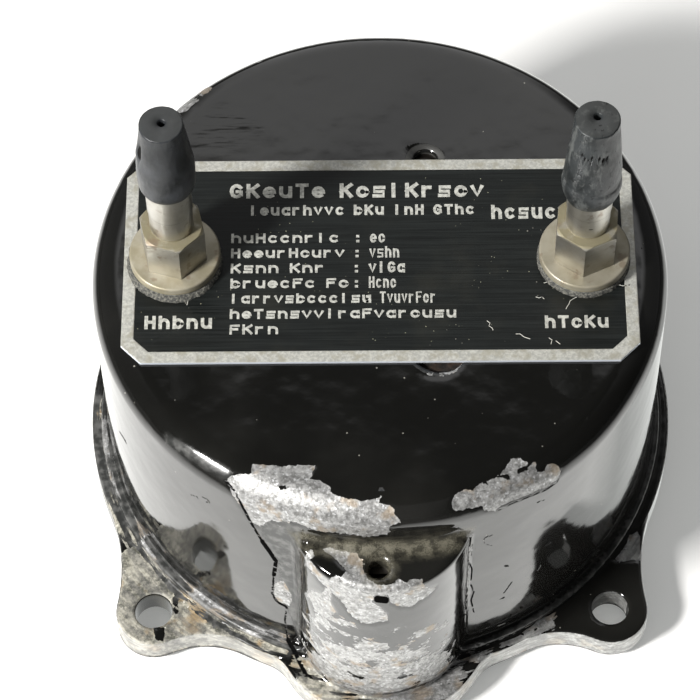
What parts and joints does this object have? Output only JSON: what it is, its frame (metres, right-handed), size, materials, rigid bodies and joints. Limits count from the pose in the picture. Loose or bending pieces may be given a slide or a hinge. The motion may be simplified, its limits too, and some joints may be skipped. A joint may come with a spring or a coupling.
{
  "type": "vertical speed indicator",
  "caption": "Panel-mounted vertical speed indicator: round black case with an eared flange, hollow boss, name plate and capped hose fittings on the back.",
  "frame": {"origin": "centre of the four fixing holes on the front face of the flange, which seats on the back of the panel", "axes": "+Z from the dial towards the back of the case, along the case axis; -Y towards the boss at six o'clock; +X towards the flask fitting"},
  "size_m": [0.0852, 0.0921, 0.081],
  "materials": {
    "black_enamel": "glossy stoved enamel, chipped",
    "bare_aluminium": "satin, scratched",
    "field_black": "matt etched field",
    "nickel_plate": "turned, dull nickel plating",
    "dark_steel": "blued",
    "brass": "turned",
    "spring_bronze": "rolled",
    "black_rubber": "matt, aged",
    "grey_fibre": "dirty fibre",
    "clear_glass": "clear",
    "dial_black": "matt",
    "dial_white": "matt",
    "sealing_wax": "dull"
  },
  "bodies": {
    "case": {"case_body": "black_enamel", "boss_grub_screw": "dark_steel", "frame_screws": "dark_steel", "access_plug": "sealing_wax", "bezel_ring": "black_enamel", "front_glass": "clear_glass", "glass_gasket": "black_rubber", "dial": "dial_black", "dial_marks": "dial_white", "dial_screws": "dark_steel", "dial_posts": "brass", "front_plate": "brass", "bridge_plate": "brass", "bridge_pillars": "brass", "bridge_screws": "dark_steel", "frame_pillars": "brass", "pillar_screws": "dark_steel", "base_plate": "brass", "rocker_brackets": "brass", "front_diaphragm": "spring_bronze", "rear_diaphragm": "spring_bronze", "capsule_hub": "brass", "pressure_pipe": "spring_bronze", "capillary_sleeve": "brass", "leak_capillary": "clear_glass", "spindle_bush": "brass", "spindle_seal": "black_rubber", "lever_clip": "dark_steel", "static_fitting": "nickel_plate", "flask_fitting": "nickel_plate", "fitting_nuts": "nickel_plate", "sealing_rings": "grey_fibre", "fitting_washers": "nickel_plate", "name_plate": "bare_aluminium", "plate_field": "field_black", "plate_print": "bare_aluminium"},
    "pointer": {"pointer": "dial_white", "pointer_arbor": "dark_steel", "hairspring_collet": "brass"},
    "sector": {"gear_sector": "brass"},
    "rocker": {"rocking_shaft": "dark_steel"},
    "link": {"link": "brass"},
    "stud": {"capsule_stud": "brass"},
    "zero_spindle": {"zero_spindle": "brass", "spindle_clip": "dark_steel"},
    "zero_lever": {"zero_lever": "brass", "spring_stud": "dark_steel", "hairspring": "spring_bronze"},
    "left_cap": {"left_rubber_cap": "black_rubber"},
    "right_cap": {"right_rubber_cap": "black_rubber"}
  },
  "joints": [
    {"name": "rocker_hinge", "type": "hinge", "parent": "case", "child": "rocker", "pos_m": [0, 0.006, 0.0245], "axis": [1, 0, 0], "range_deg": [-8, 8], "stiffness_Nm_per_rad": 0.01},
    {"name": "capsule_slide", "type": "slide", "parent": "case", "child": "stud", "axis": [0, 0, 1], "range_m": [-0.00085, 0.00085], "deforming": ["front_diaphragm"]},
    {"name": "link_pivot", "type": "hinge", "parent": "rocker", "child": "link", "pos_m": [0, 0, 0.0245], "axis": [1, 0, 0], "range_deg": [-8.1, 8.1]},
    {"name": "sector_hinge", "type": "hinge", "parent": "case", "child": "sector", "pos_m": [0.01829, 0.006, 0.015], "axis": [0, 0, 1], "range_deg": [-16.2, 16.2]},
    {"name": "pointer_hinge", "type": "hinge", "parent": "case", "child": "pointer", "pos_m": [0, 0, 0.0064], "axis": [0, 0, 1], "range_deg": [-161, 161], "deforming": ["hairspring"]},
    {"name": "zero_spindle_hinge", "type": "hinge", "parent": "case", "child": "zero_spindle", "pos_m": [0, -0.0425, 0], "axis": [0, 0, 1], "range_deg": [-35, 35]},
    {"name": "zero_lever_hinge", "type": "hinge", "parent": "case", "child": "zero_lever", "pos_m": [0, 0, 0.0193], "axis": [0, 0, 1], "range_deg": [-1, 1]},
    {"name": "left_cap_slide", "type": "slide", "parent": "case", "child": "left_cap", "axis": [0, 0, 1], "range_m": [0, 0.015]},
    {"name": "right_cap_slide", "type": "slide", "parent": "case", "child": "right_cap", "axis": [0, 0, 1], "range_m": [0, 0.015]}
  ],
  "couplings": [
    {"joint": "capsule_slide", "follows": "rocker_hinge", "m_per_rad": -0.006},
    {"joint": "link_pivot", "follows": "rocker_hinge", "ratio": -1},
    {"joint": "sector_hinge", "follows": "rocker_hinge", "ratio": -2},
    {"joint": "pointer_hinge", "follows": "rocker_hinge", "ratio": 20},
    {"joint": "zero_lever_hinge", "follows": "zero_spindle_hinge", "ratio": -0.024096}
  ]
}
